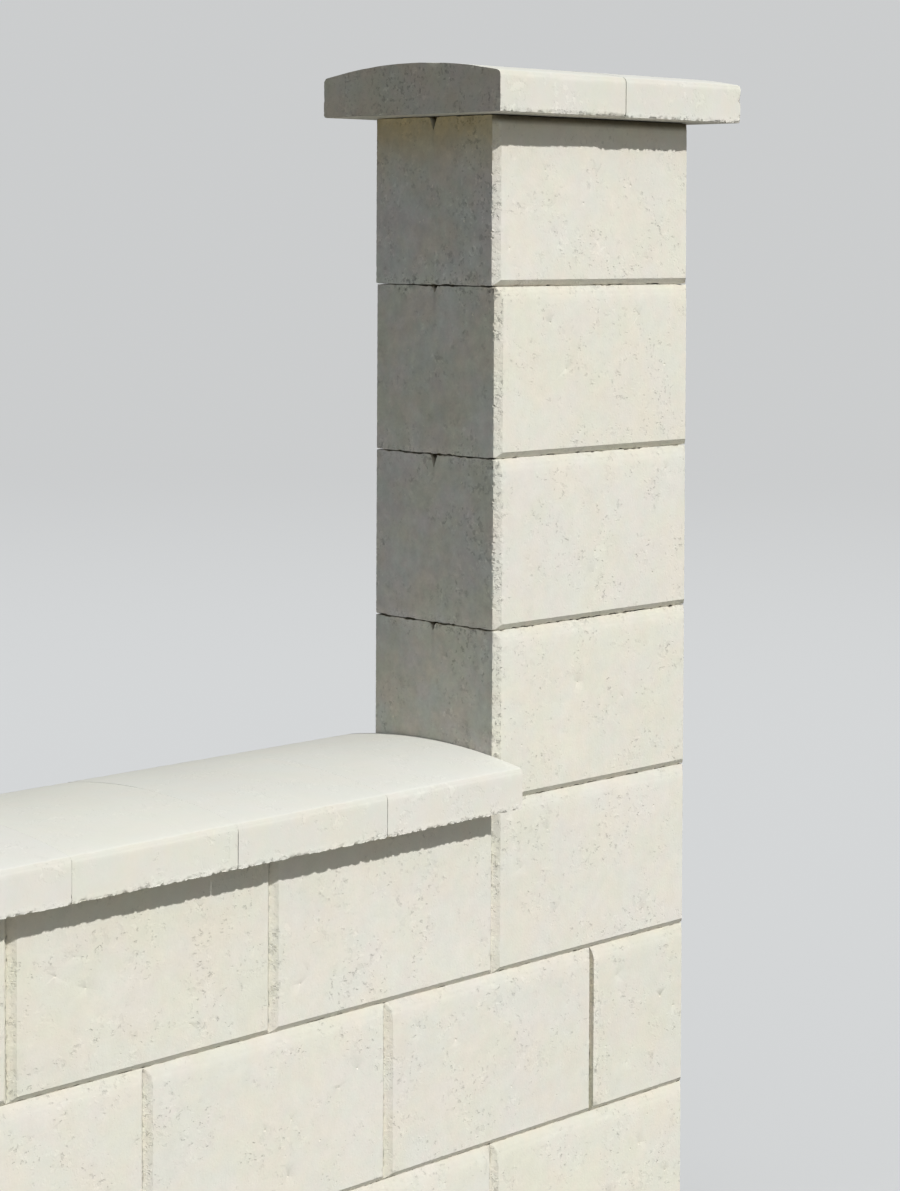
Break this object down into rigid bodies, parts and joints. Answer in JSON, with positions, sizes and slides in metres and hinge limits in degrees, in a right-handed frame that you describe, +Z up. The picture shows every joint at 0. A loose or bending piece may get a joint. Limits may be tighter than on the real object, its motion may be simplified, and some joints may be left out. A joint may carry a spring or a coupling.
{
  "type": "concrete block garden wall",
  "caption": "Low garden wall of large chamfered concrete blocks in running bond between taller end piers, with an overhanging crowned coping and matching pier caps.",
  "frame": {"origin": "middle of the wall's foot, on the ground", "axes": "+X along the wall toward the pier that the picture shows, -Y toward its front face, +Z up"},
  "size_m": [2.906, 0.351, 1.716],
  "materials": {
    "block_concrete": "pale cream pressed concrete, fine grained and slightly rough, with small dark pits",
    "slab_concrete": "pale grey-white cast concrete, finer and smoother on the crowned top"
  },
  "bodies": {
    "root": {"course_1_block_1": "block_concrete", "course_1_block_2": "block_concrete", "course_1_block_3": "block_concrete", "course_1_block_4": "block_concrete", "course_1_block_5": "block_concrete", "course_1_block_6": "block_concrete", "course_1_block_7": "block_concrete", "course_2_block_1": "block_concrete", "course_2_block_2": "block_concrete", "course_2_block_3": "block_concrete", "course_2_block_4": "block_concrete", "course_2_block_5": "block_concrete", "course_2_block_6": "block_concrete", "course_2_block_7": "block_concrete", "course_2_block_8": "block_concrete", "course_3_block_1": "block_concrete", "course_3_block_2": "block_concrete", "course_3_block_3": "block_concrete", "course_3_block_4": "block_concrete", "course_3_block_5": "block_concrete", "course_3_block_6": "block_concrete", "course_3_block_7": "block_concrete", "left_pier_block_1": "block_concrete", "left_pier_block_2": "block_concrete", "left_pier_block_3": "block_concrete", "left_pier_block_4": "block_concrete", "right_pier_block_1": "block_concrete", "right_pier_block_2": "block_concrete", "right_pier_block_3": "block_concrete", "right_pier_block_4": "block_concrete", "coping_slab_1": "slab_concrete", "coping_slab_2": "slab_concrete", "coping_slab_3": "slab_concrete", "coping_slab_4": "slab_concrete", "coping_slab_5": "slab_concrete", "coping_slab_6": "slab_concrete", "coping_slab_7": "slab_concrete", "coping_slab_8": "slab_concrete", "left_cap_slab_1": "slab_concrete", "left_cap_slab_2": "slab_concrete", "right_cap_slab_1": "slab_concrete", "right_cap_slab_2": "slab_concrete"}
  },
  "joints": []
}
